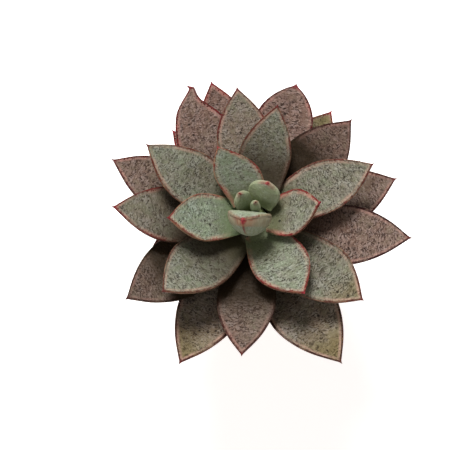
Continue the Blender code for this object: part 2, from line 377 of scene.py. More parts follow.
# %% Put the leaf finish together
def leaf_finish():
    leaf = LeafFinish()
    crease(leaf)
    leaf.tip = leaf.along.rise(0.955, 0.985)
    color = leaf.mixed(leaf.top.rise(0.1, -0.25), upper_face(leaf), underside(leaf))
    color = margin_over(leaf, color)
    straw = leaf.mixed(leaf.grain.rise(0.35, 0.6), paint(62, 34, 28), paint(140, 104, 82))
    color = leaf.mixed(leaf.dried, color, straw)
    # Painted shade: each leaf is darkened towards olive-brown by its share from the tone table, most at the
    # base.
    color = leaf.mixed(leaf.dusk, color, paint(44, 31, 14))
    # Painted light on the buds: a lighter green, red at the tip, mixed over the youngest leaves, whose rim
    # is low.
    bud = leaf.mixed(leaf.tip, paint(166, 178, 132), paint(200, 60, 60))
    color = leaf.mixed((1 - leaf.rim * 2).clipped() * 0.38, color, bud)
    hollows = leaf.wrinkles * 0.55 + leaf.stipple * 0.4 + leaf.specks * 0.4
    leaf.relief(leaf.grain * 0.6 - hollows, 0.5 * MM)
    return leaf.paint_with(color, 0.58 + (leaf.grain - 0.5) * 0.25 + leaf.wrinkles * 0.1)


LEAF_SKIN = leaf_finish()

# %% [markdown]
# ## One leaf
# A real leaf of this kind is a lens: almost flat above, full below, with a keel towards the tip, and
# its edges rise a little so that water runs to the roots. It widens from a narrow base and closes to
# a drawn-out point. The midline is an arc that leaves the stem low and ends higher.
# The same rule gives all leaves, and only their number and a few habits differ.

# %% Sizes of the rosette
LEAF_COUNT = 32
GOLDEN_ANGLE, FIRST_AZIMUTH = 137.5, 307.0
LEAF_LENGTH, LEAF_WIDTH, LEAF_THICKNESS = 64 * MM, 27 * MM, 5 * MM
LEAF_PITCH, DOME_LEAVES = 0.92 * MM, 2.2
STEM_RADIUS, GAP = 6 * MM, 0.3 * MM
STEM_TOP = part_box("stem")[1].z
UPPER_SHARE = 0.25
CHANNEL = 0.14
EDGE_ROLL = radians(5)

# %% Habits of single leaves
# Turned about the stem (degrees), longer and broader (ratios), tip swept sideways (share of the length),
# lifted and curled (degrees), plumper (ratio), and the share of the thickness above the midline.
HABITS = {
    0: dict(turn=91.1, stretch=1.3, lift=-4.1, curl=-12, broad=0.6, plump=1.1),
    1: dict(turn=-31, stretch=0.74, lift=8, curl=14, broad=0.67, plump=1.15),
    2: dict(turn=28.9, stretch=0.53, lift=10.4, curl=20, broad=0.88, plump=1.5),
    3: dict(turn=5.7, stretch=0.49, sweep=-0.23, lift=41.9, curl=-45, broad=0.95, plump=2.2, upper=0.55),
    4: dict(turn=-10.9, stretch=0.82, sweep=0.27, lift=-4),
    5: dict(turn=18, stretch=0.66, sweep=0.15, lift=3),
    6: dict(turn=-18, stretch=0.79, sweep=0.07, lift=1.6),
    7: dict(turn=17.4, sweep=-0.09, lift=-4.8),
    8: dict(turn=10, stretch=0.79, sweep=0.06, lift=-1),
    9: dict(turn=-2.6, stretch=1.01, lift=-3.2),
    10: dict(turn=13, stretch=0.98, sweep=-0.05, lift=-2, broad=0.92),
    11: dict(turn=-10.9, stretch=0.88, lift=1.9),
    12: dict(turn=-3.4, stretch=0.97, sweep=0.07, lift=-0.9),
    13: dict(stretch=0.96),
    14: dict(turn=-5.5, stretch=0.95, lift=-2),
    15: dict(turn=1.7, stretch=0.97, lift=-3.2),
    16: dict(turn=-1.7, stretch=0.93, lift=0.4, broad=0.95),
    17: dict(turn=-8.9, stretch=1.03, sweep=-0.03, lift=1),
    18: dict(turn=-0.2, stretch=1.02, lift=-0.6),
    19: dict(turn=-4.2, stretch=0.95, sweep=0.07, lift=-0.3, broad=1.07),
    20: dict(turn=-1.3, sweep=-0.05, lift=-3),
    21: dict(turn=-2.4, stretch=1.06, sweep=0.06, lift=-0.7, broad=1.1),
    22: dict(turn=-6.7, lift=0.4),
    23: dict(turn=-6.7, stretch=0.95, lift=0.5),
    24: dict(turn=-3.6, lift=0.6),
    25: dict(turn=-3.5, stretch=1.03, lift=-1.3),
    26: dict(turn=-3.3, stretch=0.68, lift=-4),
    27: dict(turn=-0.9, stretch=0.64, lift=-3.7),
    28: dict(turn=0.5, stretch=0.95, lift=-3.1),
    29: dict(turn=-7.7, stretch=0.6, lift=-9.4),
    30: dict(turn=-14, stretch=0.84, broad=0.6, plump=0.7),
    31: dict(turn=31.6, stretch=0.84, lift=-8.7, broad=0.55, plump=0.5),
}
# Forms that only some leaves have: edges cupped upwards (share of the half width), a blunt tip (0 to 1),
# a hooked tip (share of the length, sideways), a wavy margin (in leaf thicknesses), and fuller (ratio).
PLAIN_FORM = dict(cup=0.0, blunt=0.0, hook=0.0, wave=0.0, full=1.0)
FORMS = {
    0: dict(full=1.15),
    1: dict(full=1.1),
    2: dict(blunt=0.5, full=1.07),
    3: dict(cup=0.34, blunt=0.3, full=1.12),
    17: dict(hook=-0.09, wave=0.15),
    20: dict(blunt=1.0),
    22: dict(wave=0.25),
    25: dict(wave=0.6, cup=0.3),
    28: dict(wave=0.5),
    30: dict(wave=0.9, cup=0.4),
    31: dict(wave=0.9, cup=0.5),
}


# %% How leaves grow
def growth(rank):
    """Place and size of a leaf, from its number, counted from the centre, and its habit."""
    habit = HABITS.get(rank, {})
    oldness = rank / (LEAF_COUNT - 1)
    length = LEAF_LENGTH * (1 - exp(-(rank + 1) / 7.2)) * habit.get("stretch", 1)
    plump = 1.04 - 0.46 * exp(-rank / 4) - 0.17 * oldness**2
    leaf = dict(
        rank=rank,
        azimuth=radians(FIRST_AZIMUTH - GOLDEN_ANGLE * rank + habit.get("turn", 0)),
        length=length,
        half_width=0.5 * LEAF_WIDTH * (1 - exp(-(rank + 1.2) / 4.2)) * habit.get("broad", 1),
        thickness=LEAF_THICKNESS * plump * habit.get("plump", 1),
        lift=radians(6 + 24 * exp(-rank / 12) + 60 * exp(-rank / 1.5) + habit.get("lift", 0)),
        bend=radians(26 - 0.6 * rank + habit.get("curl", 0)),
        sweep=length * habit.get("sweep", 0),
        base=0.5,
        widest=0.56,
        upper=habit.get("upper", UPPER_SHARE),
    )
    leaf["root"] = leaf_root(leaf)
    return leaf | PLAIN_FORM | FORMS.get(rank, {})


def leaf_root(leaf):
    """Where the midline starts: the base stands off the domed stem by a small gap."""
    rank = leaf["rank"]
    start = leaf["lift"] - 0.5 * leaf["bend"]
    dome = exp(-rank / DOME_LEAVES)
    lean = start - atan2(STEM_RADIUS * dome / DOME_LEAVES, LEAF_PITCH)
    above = leaf["upper"] * float(depth(leaf, 0.0)) + CHANNEL * float(half_width(leaf, 0.0))
    below = (1 - leaf["upper"]) * float(depth(leaf, 0.0))
    clear = GAP + max(above * sin(lean), -below * sin(lean))
    out = STEM_RADIUS * (1 - dome) + clear * cos(start)
    return out, STEM_TOP - LEAF_PITCH * rank + clear * sin(start)


# %% The leaf's width and thickness
def beyond(along, start):
    """The way from start to the tip, 0 to 1, and 0 before start."""
    return np.clip((along - start) / (1 - start), 0, 1)


def tapered(v):
    """The outline from the widest place to the tip: 1 - v^1.75, pinched close to the tip."""
    return (1 - v**1.75) * (1 - 0.35 * v**8)


def half_width(leaf, along):
    """Half of the width: a sine rise from the base to the widest place, then the taper."""
    spread = np.sin(0.5 * pi * np.clip(along / leaf["widest"], 0, 1)) ** 1.2
    share = (leaf["base"] + (1 - leaf["base"]) * spread) * tapered(beyond(along, leaf["widest"]))
    return leaf["half_width"] * share


def blunted(leaf, along):
    """How much broader a blunt leaf is towards its tip: (1 - v^3.4) against the taper."""
    v = np.minimum(beyond(along, leaf["widest"]), 0.995)
    return 1 + leaf["blunt"] * ((1 - v**3.4) / tapered(v) - 1)


def depth(leaf, along):
    """Thickness at the midline: it swells to the thickest place, then falls as (1 - v^2)^0.6."""
    thickest = 0.45
    swell = 0.3 + 0.7 * np.sin(0.5 * pi * np.clip(along / thickest, 0, 1))
    return leaf["thickness"] * swell * (1 - beyond(along, thickest) ** 2) ** 0.6


# %% From a flat leaf to its place on the stem
def on_midline(leaf, along, side, rise):
    """Carries (side, rise) along the leaf's arc and turns it round the stem.

    The midline is a circular arc of the leaf's length and bend. Side is level and at right angles
    to it, rise is square to both, and the tip is swept sideways as the square of its way along.
    """
    bend, start = leaf["bend"], leaf["lift"] - 0.5 * leaf["bend"]
    radius = 0.5 * leaf["length"] / sin(0.5 * bend)
    slope = start + bend * along
    out = leaf["root"][0] + radius * (np.sin(slope) - sin(start)) - rise * np.sin(slope)
    up = leaf["root"][1] + radius * (cos(start) - np.cos(slope)) + rise * np.cos(slope)
    side = side + leaf["sweep"] * along**2
    turn = leaf["azimuth"]
    return np.stack([out * cos(turn) - side * sin(turn), out * sin(turn) + side * cos(turn), up], axis=-1)


def rolled(along, side, rise):
    """Turns a section about the midline, so that one edge lies over the neighbour."""
    roll = EDGE_ROLL * np.sin(0.5 * pi * along)
    return side * np.cos(roll) - rise * np.sin(roll), side * np.sin(roll) + rise * np.cos(roll)


# %% [markdown]
# ### Seats
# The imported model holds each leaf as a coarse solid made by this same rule. Drawing that coarse leaf
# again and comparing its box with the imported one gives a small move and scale, and the detailed leaf
# takes them over, so that it lies exactly where its solid does.

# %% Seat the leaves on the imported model
def plain_leaf(leaf):
    """The leaf without detail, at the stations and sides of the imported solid."""
    step = np.linspace(0, 1, 12)[:, None]
    along = (0.55 * step + 0.45 * np.sin(0.5 * pi * step)) * np.ones((1, 10))
    around = np.linspace(0, 2 * pi, 10, endpoint=False)[None, :]
    half, thick = half_width(leaf, along), depth(leaf, along)
    share = np.where(np.sin(around) > 0, leaf["upper"], 1 - leaf["upper"])
    side = half * np.cos(around)
    rise = share * thick * np.sin(around) + CHANNEL * half * (np.cos(around) ** 2 - 0.3)
    return on_midline(leaf, along, *rolled(along, side, rise))


def seat(rank, points):
    """Moves and scales points by what carries the plain leaf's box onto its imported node's box."""
    plain = plain_leaf(growth(rank)).reshape(-1, 3)
    low, high = (np.array(corner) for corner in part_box(f"leaf_{rank + 1:02d}"))
    scale = (high - low) / (plain.max(0) - plain.min(0))
    return low + (points - plain.min(0)) * scale, scale


stretches = np.array([seat(rank, np.zeros(3))[1] for rank in range(LEAF_COUNT)])
print("packed leaf boxes against the rule:", np.round([stretches.min(), stretches.max()], 4).tolist())

# %% [markdown]
# ## Colours of single leaves
# The youngest leaves are green, and each has more mauve than the one before, but sun and shade make
# neighbours differ, so the table gives every leaf its own tone and its own share of painted shade.
# The dark seam that many leaves carry near the middle is a line whose way is worked out here, because
# it has to run the leaf's whole length.

# %% Tones
# Reddened by the sun (0 green to 1 mauve), flushed margins, olive towards the tip, painted shade
# all over and most at the base, and dried, each from 0 to 1 or a little past it.
PLAIN_TONE = dict(age=0.9, flush=0.25, olive=0, dusk=0.1, dried=0)
TONES = {
    0: dict(age=0.0, flush=0.3, dusk=0),
    1: dict(age=0.05, flush=0.5, dusk=0),
    2: dict(age=0.1, flush=0.7, dusk=0),
    3: dict(age=0.05, flush=0.9, dusk=0),
    4: dict(age=0.1, flush=0.9, dusk=0.15),
    5: dict(age=0.35, flush=0.9, dusk=0),
    6: dict(age=0.0, flush=0.5, dusk=0),
    7: dict(age=0.35, flush=0.3, dusk=0.6),
    8: dict(age=0.2, flush=0.8, dusk=0),
    9: dict(age=0.3, flush=0.2, dusk=0.25),
    10: dict(age=0.4, flush=0.2, dusk=0),
    11: dict(age=0.3, flush=0.1, dusk=0.5),
    12: dict(age=0.65, flush=0.3, dusk=0),
    13: dict(age=0.4, flush=0.1, olive=0.5, dusk=0.25),
    14: dict(age=0.5, flush=0.7, dusk=0.78),
    15: dict(age=1.0, flush=0.2, dusk=1.1),
    16: dict(age=0.9, flush=0.2, dusk=0.88),
    17: dict(age=0.95, flush=0.6, dusk=0.05),
    18: dict(age=0.95, flush=0.1, dusk=0.05),
    19: dict(age=0.9, flush=0.1, dusk=1.6),
    20: dict(age=1.1, flush=0.4, dusk=0.05),
    21: dict(age=0.65, flush=0.0, olive=0.8, dusk=0.1),
    22: dict(age=0.9, flush=0.3, dusk=0.45),
    23: dict(age=0.9, dusk=0.3),
    24: dict(age=0.7, flush=0.1, olive=0.8, dusk=0),
    25: dict(age=1.1, flush=0.8, dusk=0),
    27: dict(age=1.0, flush=0.7),
    28: dict(age=0.5, flush=0.8, olive=0.9, dusk=0),
    30: dict(age=1.1, flush=1.0, dusk=0),
    31: dict(age=1.0, flush=0.0, dried=0.85),
}


def tones(leaf, along, side, over):
    """The two colour marks of a leaf: (age, flush, dried) and (olive, painted shade, seam).

    The painted shade is strongest at the base. The seam is a thin line that wanders about the middle of the
    upper face, and on the underside it follows the keel.
    """
    ones = np.ones_like(along)
    own = PLAIN_TONE | TONES.get(leaf["rank"], {})
    tone = {name: value * ones for name, value in own.items()}
    track = np.stack([along * leaf["length"], 0.3 * leaf["rank"] * ones, ones], axis=-1)
    off = side - (2.2 * MM * bumps(track, 14 * MM, 51) + 0.5 * MM * bumps(track, 3 * MM, 52))
    seam = np.exp(-((off / (0.35 * MM)) ** 2)) * eased(0.12, 0.3, along) * eased(0.97, 0.8, along)
    seam = seam * (0.25 + 0.75 * eased(0.3, 0.9, tone["age"]))
    keel = np.exp(-((side / (0.4 * MM)) ** 2)) * eased(0.55, 0.9, along)
    # Painted shade: the leaf's share from the table, 1.5 times at the base and 0.3 times at the tip.
    dusk = tone["dusk"] * (1.5 - 1.2 * eased(0.3, 0.85, along))
    tint = np.stack([tone["age"], tone["flush"], tone["dried"]], axis=-1)
    return tint, np.stack([tone["olive"], dusk, np.where(over < 0, keel, seam)], axis=-1)


# %% [markdown]
# ## Detail on the leaves
# Seen close, a margin is a thin raised bead, the upper face has a shallow crease along the middle,
# and old leaves wrinkle and undulate as they lose water. The tip ends in a small sharp point,
# the mucro. These are shapes, so they are moved points and not only bumps in the finish.

# %% The full section
STATIONS, SIDES = 110, 72
MUCRO_START, MUCRO_LENGTH = 0.965, 0.5 * MM


def fuller(leaf):
    """Broadens the base of a young leaf, moves its widest place back, and fills out the buds."""
    leaf["base"] += 0.34 * exp(-((leaf["rank"] / 8) ** 2))
    leaf["widest"] -= 0.08 * exp(-(((leaf["rank"] - 6) / 4) ** 2))
    leaf["half_width"] *= leaf["full"]
    leaf["thickness"] *= leaf["full"]
    return leaf


def lens(leaf, along, across, over, edge_spot):
    """Half width, side and rise of a leaf's sections, where across is the cosine round a section.

    The upper face is between a circle and a parabola, the underside is a blunter (1 - across^2)^0.32
    with a keel towards the tip, and a parabola cups the whole. A bud is as round above as below.
    """
    wobble = 0.022 * bumps(edge_spot, 9 * MM, 3) * np.sin(pi * along) ** 0.6
    half = half_width(leaf, along) * blunted(leaf, along) * (1 + wobble)
    side, thick, bulge = half * across, depth(leaf, along), 1 - across**2
    budding = exp(-((leaf["rank"] / 2.6) ** 2))
    upper_share = leaf["upper"] + (0.45 - leaf["upper"]) * budding
    upper = upper_share * thick * (0.45 * np.sqrt(bulge) + 0.55 * bulge)
    keel = np.exp(-((side / (0.12 * leaf["half_width"])) ** 2)) * eased(0.45, 0.95, along) * 0.1 * thick
    under = (1 - upper_share) * thick * bulge**0.32 + keel * (over < 0)
    channel = CHANNEL * (1 - budding) + leaf["cup"]
    rise = np.where(over > 0, upper, -under) + channel * half * (across**2 - 0.3)
    rise = rise + leaf["wave"] * thick * bumps(edge_spot, 6 * MM, 15) * across**2
    return half, side + leaf["hook"] * leaf["length"] * eased(0.8, 1.0, along) ** 2, rise


# %% Relief and the sharp tip
def weathered(leaf, along, across, over, half, side, flat, edge_spot):
    """What growing and ageing add to the rise, all of it fading out at the base and the tip.

    A bead just inside the margin, a crease along the middle, dents, fine wrinkles across the leaf,
    and an undulating margin: a Gaussian of the distance for the first two, and bumps for the others.
    """
    oldness = leaf["rank"] / (LEAF_COUNT - 1)
    size = leaf["length"] / LEAF_LENGTH
    inward = half * (1 - np.abs(across))
    bead = 0.16 * np.exp(-((inward / (0.45 * MM) - 1) ** 2)) * (over > 0)
    fold = (0.22 + 0.25 * oldness) * size * np.exp(-((side / (1.5 * MM * size)) ** 2)) * (over > 0)
    dents = 0.32 * size * bumps(flat, 11 * MM, 5)
    wrinkles = (0.05 + 0.07 * oldness) * bumps(flat * np.array([1, 0.35, 1]), 1.9 * MM, 7)
    swing = (0.3 + 0.3 * oldness) * bumps(edge_spot, 13 * MM, 9) * np.abs(across) ** 3
    return (bead - fold + dents + wrinkles + swing) * MM * np.sin(pi * along) ** 0.6


def drawn_out(leaf, along, points):
    """Moves the last points on along the midline as the square of their way, which makes the mucro."""
    reach = on_midline(leaf, np.array(1.0), 0.0, 0.0) - on_midline(leaf, np.array(0.97), 0.0, 0.0)
    share = eased(MUCRO_START, 1.0, along)[..., None] ** 2
    return points + share * reach / np.linalg.norm(reach) * MUCRO_LENGTH


# %% A detailed leaf
def detailed_leaf(rank):
    """The rings of a leaf and the marks that its finish reads."""
    leaf = fuller(growth(rank))
    step = np.linspace(0, 1, STATIONS)[:, None]
    along = (0.5 * step + 0.5 * np.sin(0.5 * pi * step)) * np.ones((1, SIDES))
    around = np.linspace(0, 2 * pi, SIDES, endpoint=False) * np.ones_like(along)
    across, over = np.cos(around), np.sin(around)
    onward, own = along * leaf["length"], np.full_like(along, 0.1 * rank)
    flat = np.stack([across * half_width(leaf, along), onward, own], axis=-1)
    edge_spot = np.stack([0.02 * np.sign(across), onward, own], axis=-1)

    half, side, rise = lens(leaf, along, across, over, edge_spot)
    rise = rise + weathered(leaf, along, across, over, half, side, flat, edge_spot)
    side = side * (1 - 0.4 * eased(MUCRO_START, 1.0, along))
    points = drawn_out(leaf, along, on_midline(leaf, along, *rolled(along, side, rise)))
    points, _ = seat(rank, points)

    tint, tone = tones(leaf, along, flat[..., 0], over)
    zone = np.stack([half * (1 - np.abs(across)), along, np.tanh(4 * over)], axis=-1)
    skin = flat + np.array([0, 0, 0.05]) * (over < 0)[..., None]
    rim = eased(2.0, 4.5, rank) + 0.5 * eased(0.8, 0.95, along)
    return points, dict(skin=skin, zone=zone, tint=tint, tone=tone, rim=rim)


# %% Thirty-two leaves
leaves = []
for rank in range(LEAF_COUNT):
    rings, marks = detailed_leaf(rank)
    blade = tube_mesh(f"leaf_{rank + 1:02d}_blade", rings, LEAF_SKIN, marks)
    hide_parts(f"leaf_{rank + 1:02d}")
    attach(blade, "root")
    leaves.append(blade)
print("leaves:", len(leaves), " faces each:", len(leaves[0].data.polygons))

# %% [markdown]
# ## The pot
# A plain machine-pressed clay pot: a tapered body, a collar that gives the fingers a grip and stiffens
# the rim, and drain holes in its floor. It is one profile turned about the upright axis, with faint
# rings where the clay was smoothed, and water leaves pale mineral stains on the porous wall.

# %% Pot finish
def pot_finish():
    """Orange clay in two tones, with grog, turning marks, and salt where water dries."""
    clay = Finish("terracotta", ior=1.45, specular_ior_level=0.2)
    place = clay.node("TexCoord").outputs["Object"]
    height = clay.split(place)[2]
    broad = clay.noise(place, 18 * MM, detail=4, roughness=0.6)
    grain = clay.noise(place, 1.1 * MM, detail=3, roughness=0.7)
    turned = clay.noise(clay.stretched(place, (0.12, 0.12, 1.6)), 2.2 * MM, detail=2)
    grit = clay.cells(place, 2.4 * MM).rise(0.16, 0.08)
    color = clay.mixed(broad.rise(0.3, 0.7), paint(172, 96, 66), paint(190, 118, 84))
    color = clay.mixed((grain - 0.35).clipped() * 0.9, color, paint(148, 80, 56))
    color = clay.mixed(grit * 0.35, color, paint(112, 66, 50))
    watered = height.rise(30 * MM, 4 * MM) * 0.8 + height.rise(44 * MM, 50 * MM) * 0.35
    salt = watered * broad.rise(0.42, 0.66) * grain.rise(0.3, 0.6)
    color = clay.mixed(salt * 0.75, color, paint(214, 196, 178))
    color = clay.mixed(height.rise(10 * MM, 0.0) * 0.35, color, paint(98, 62, 48))
    clay.relief(grain * 0.6 + turned * 0.8 - grit * 0.4, 0.25 * MM, 0.8)
    return clay.paint_with(color, 0.82 + (grain - 0.5) * 0.2)


# %% Turned profiles
def resampled(outline, spacing):
    """Points every `spacing` along a polyline of (radius, height), with its corners kept."""
    outline = np.array(outline, float)
    pieces = []
    for start, end in zip(outline[:-1], outline[1:]):
        count = max(1, int(np.ceil(np.linalg.norm(end - start) / spacing)))
        pieces.append(start + (end - start) * np.arange(count)[:, None] / count)
    return np.vstack(pieces + [outline[-1:]])


def softened(outline, radius, steps=5):
    """The outline with every inner corner replaced by a parabola that starts `radius` before it."""
    points = [outline[0]]
    for before, corner, after in zip(outline, outline[1:], outline[2:]):
        before, corner, after = np.array(before), np.array(corner), np.array(after)
        away = [side - corner for side in (before, after)]
        start, end = (corner + way * min(radius / np.linalg.norm(way), 0.45) for way in away)
        u = np.linspace(0, 1, steps)[:, None]
        points += list((1 - u) ** 2 * start + 2 * u * (1 - u) * corner + u * u * end)
    return points + [outline[-1]]


def turned_rings(outline, sides, relief):
    """Rings of a turned body: radius times (cos, sin) of the angle, moved outwards by relief(place).

    Outwards is square to the outline, which runs so that the body lies on its right.
    """
    angle = np.linspace(0, 2 * pi, sides, endpoint=False)[None, :]
    radius, height = outline[:, 0, None], outline[:, 1, None]
    rings = np.stack([radius * np.cos(angle), radius * np.sin(angle), height + 0 * angle], axis=-1)
    along = np.gradient(outline, axis=0)
    normal = np.stack([-along[:, 1], along[:, 0]], axis=-1)
    normal /= np.linalg.norm(normal, axis=1, keepdims=True)
    shift = relief(rings)
    rings[..., 0] += shift * normal[:, 0, None] * np.cos(angle)
    rings[..., 1] += shift * normal[:, 0, None] * np.sin(angle)
    rings[..., 2] += shift * normal[:, 1, None]
    return rings


# %% Turn the pot
pot_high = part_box("pot")[1]
POT_HEIGHT, POT_RIM_RADIUS = pot_high.z, pot_high.x
POT_FOOT_RADIUS, POT_WALL, POT_FLOOR = 25 * MM, 3.5 * MM, 4 * MM
COLLAR_HEIGHT, COLLAR_STEP = 13 * MM, 2 * MM
DRAIN_RADIUS, DRAIN_COUNT, DRAIN_RING = 3 * MM, 4, 13 * MM
EDGE_RADIUS, POLE_RADIUS = 1.0 * MM, 0.4 * MM
POT_SIDES, POT_SPACING = 160, 0.9 * MM


def wall_radius(height):
    """Outer radius of the tapered wall."""
    return POT_FOOT_RADIUS + (POT_RIM_RADIUS - COLLAR_STEP - POT_FOOT_RADIUS) * height / POT_HEIGHT


collar_foot = POT_HEIGHT - COLLAR_HEIGHT
pot_outline = [
    (POLE_RADIUS, POT_FLOOR),
    (wall_radius(POT_FLOOR) - POT_WALL, POT_FLOOR),
    (wall_radius(POT_HEIGHT) - POT_WALL, POT_HEIGHT),
    (POT_RIM_RADIUS, POT_HEIGHT),
    (POT_RIM_RADIUS - 0.4 * COLLAR_STEP, collar_foot),
    (wall_radius(collar_foot), collar_foot - 0.5 * COLLAR_STEP),
    (POT_FOOT_RADIUS, 0.0),
    (POLE_RADIUS, 0.0),
]


def clay_relief(place):
    """Dents about 14 mm apart, and level smoothing rings on the wall."""
    level = place * np.array([0.1, 0.1, 1.0])
    return 0.12 * MM * bumps(place, 14 * MM, 21) + 0.05 * MM * bumps(level, 1.7 * MM, 22) - 0.12 * MM


pot_profile = resampled(softened(pot_outline, EDGE_RADIUS), POT_SPACING)
pot = tube_mesh("pot_clay", turned_rings(pot_profile, POT_SIDES, clay_relief), pot_finish())
print("pot before drilling:", len(pot.data.polygons), "faces")

# %% Drill the drain holes
drains = []
for hole in range(DRAIN_COUNT):
    angle = 2 * pi * (hole + 0.5) / DRAIN_COUNT
    middle = (DRAIN_RING * cos(angle), DRAIN_RING * sin(angle), 0)
    bpy.ops.mesh.primitive_cylinder_add(
        vertices=32, radius=DRAIN_RADIUS, depth=4 * POT_FLOOR, location=middle)
    drains.append(bpy.context.object)
    cut = pot.modifiers.new(f"drain_{hole + 1}", "BOOLEAN")
    cut.operation, cut.solver, cut.object = "DIFFERENCE", "EXACT", drains[-1]
drilled = bpy.data.meshes.new_from_object(pot.evaluated_get(bpy.context.evaluated_depsgraph_get()))
pot.modifiers.clear()
pot.data = drilled
for drain in drains:
    bpy.data.objects.remove(drain, do_unlink=True)
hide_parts("pot")
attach(pot, "root")
print("pot:", len(pot.data.polygons), "faces with", DRAIN_COUNT, "drain holes")

# %% [markdown]
# ## The soil
# Succulents grow in a dark mix that is half grit, so that it drains at once. The mix is a lumpy ring
# round the stem, and on it lie small stones of pumice and lava, which are one mesh of
# twenty-faced pebbles, because there are hundreds of them.

# %% Soil finishes
def soil_finish():
    soil = Finish("soil_mix", specular_ior_level=0.15)
    place = soil.node("TexCoord").outputs["Object"]
    crumbs = soil.noise(place, 2.2 * MM, detail=5, roughness=0.7)
    fibres = soil.noise(soil.stretched(place, (0.3, 1.0, 1.0)), 1.4 * MM, detail=2, twist=1.5)
    color = soil.mixed(crumbs.rise(0.35, 0.65), paint(34, 25, 20), paint(72, 54, 42))
    color = soil.mixed(fibres.rise(0.62, 0.72) * 0.6, color, paint(112, 84, 60))
    soil.relief(crumbs + fibres * 0.4, 0.6 * MM)
    return soil.paint_with(color, 0.95 - crumbs * 0.1)


def grit_finish():
    grit = Finish("grit", specular_ior_level=0.25)
    place = grit.node("TexCoord").outputs["Object"]
    kind, _, _ = grit.split(grit.attribute("kind").outputs["Vector"])
    pores = grit.noise(place, 0.5 * MM, detail=3, roughness=0.7)
    color = grit.mixed(kind.rise(0.35, 0.4), paint(84, 58, 48), paint(168, 154, 132))
    color = grit.mixed(kind.rise(0.75, 0.8), color, paint(196, 186, 168))
    color = grit.mixed(pores.rise(0.5, 0.3) * 0.6, color, paint(60, 48, 40))
    grit.relief(pores, 0.2 * MM)
    return grit.paint_with(color, 0.85 + pores * 0.1)


# %% Fill the pot
soil_low, soil_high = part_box("soil")
SOIL_CROWN = 0.8 * MM
soil_level = soil_high.z - SOIL_CROWN
stem_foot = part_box("stem")[0].z
well = STEM_RADIUS + GAP
soil_edge = wall_radius(soil_level) - POT_WALL - GAP
soil_pole = 0.5 * MM
soil_outline = resampled([
    (soil_pole, stem_foot - GAP),
    (well, stem_foot - GAP),
    (well, soil_high.z),
    (soil_edge, soil_level),
    (wall_radius(soil_low.z) - POT_WALL - GAP, soil_low.z),
    (soil_pole, soil_low.z),
], 0.8 * MM)


def crumble(place):
    """Lumps on the top only: the rest of the soil meets the pot and the stem."""
    near_wall = eased(soil_edge, soil_edge - 1.5 * MM, np.hypot(place[..., 0], place[..., 1]))
    on_top = eased(soil_level - 0.3 * MM, soil_level, place[..., 2]) * near_wall
    lumps = 0.45 * bumps(place, 3.1 * MM, 31) + 0.22 * bumps(place, 1.4 * MM, 32) - 0.3
    return on_top * lumps * MM


soil = tube_mesh("soil_mix", turned_rings(soil_outline, 180, crumble), soil_finish())
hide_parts("soil")
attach(soil, "root")
print("soil:", len(soil.data.polygons), "faces, level with", round(soil_level / MM, 1), "mm")

# %% [markdown]
# ### Grit
# A stone is a twenty-faced solid whose corners are pushed in and out, squashed and turned at random.
# The numbers come from a seeded generator, so the stones lie the same way every time.

# %% Scatter the grit
STONES = 620


def pebble():
    """The twelve corners and twenty faces of an icosahedron of radius 1."""
    golden = (1 + sqrt(5)) / 2
    flat = np.array([(-1, golden), (1, golden), (-1, -golden), (1, -golden)])
    corners = np.vstack([
        np.column_stack([flat, np.zeros(4)]),
        np.column_stack([np.zeros(4), flat]),
        np.column_stack([flat[:, 1], np.zeros(4), flat[:, 0]]),
    ]) / sqrt(1 + golden**2)
    gaps = np.linalg.norm(corners[:, None] - corners[None], axis=-1)
    near = (gaps > 0.1) & (gaps < 1.1)
    faces = np.array([(a, b, c) for a in range(12) for b in range(a + 1, 12) for c in range(b + 1, 12)
                      if near[a, b] and near[b, c] and near[a, c]])
    one, two, three = corners[faces].swapaxes(0, 1)
    inward = np.einsum("ij,ij->i", one, np.cross(two, three)) < 0
    faces[inward] = faces[inward, ::-1]
    return corners, faces


rng = np.random.default_rng(7)
corners, faces = pebble()
far = np.sqrt(rng.uniform((well + 0.8 * MM) ** 2, (soil_edge - 1.2 * MM) ** 2, STONES))
bearing = rng.uniform(0, 2 * pi, STONES)
radii = rng.uniform(0.45, 1.15, STONES) * MM
turns = np.linalg.qr(rng.normal(size=(STONES, 3, 3)))[0]
turns *= np.sign(np.linalg.det(turns))[:, None, None]
squash = rng.uniform(0.65, 1.2, (STONES, 1, 3))
knobs = 1 + 0.14 * rng.normal(size=(STONES, len(corners), 1)).clip(-1.5, 1.5)
stones = np.einsum("nij,nkj->nki", turns, corners * squash * knobs * radii[:, None, None])
ground = soil_level + SOIL_CROWN * (soil_edge - far) / (soil_edge - well)
centres = np.stack([far * np.cos(bearing), far * np.sin(bearing), ground + 0.25 * radii], axis=-1)
stones = stones + centres[:, None, :]

# %% Join the grit into one mesh
grit_mesh = bpy.data.meshes.new("soil_grit")
all_faces = (faces + len(corners) * np.arange(STONES)[:, None, None]).reshape(-1, 3)
grit_mesh.from_pydata(stones.reshape(-1, 3).tolist(), [], all_faces.tolist())
kinds = grit_mesh.attributes.new("kind", "FLOAT_VECTOR", "POINT")
kind = np.repeat(rng.uniform(0, 1, STONES), len(corners))
kinds.data.foreach_set("vector", np.repeat(kind, 3).astype(np.float32))
grit_mesh.materials.append(grit_finish())
grit = bpy.data.objects.new("soil_grit", grit_mesh)
bpy.context.scene.collection.objects.link(grit)
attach(grit, "root")
print("grit:", STONES, "stones,", len(grit_mesh.polygons), "faces")

# %% [markdown]
# ## The stem
# Below the rosette the stem is bare and corky, ringed with the scars of leaves that have dropped.
# The scars sit at the same golden angle as the leaves, so they are worked out from the same rule.

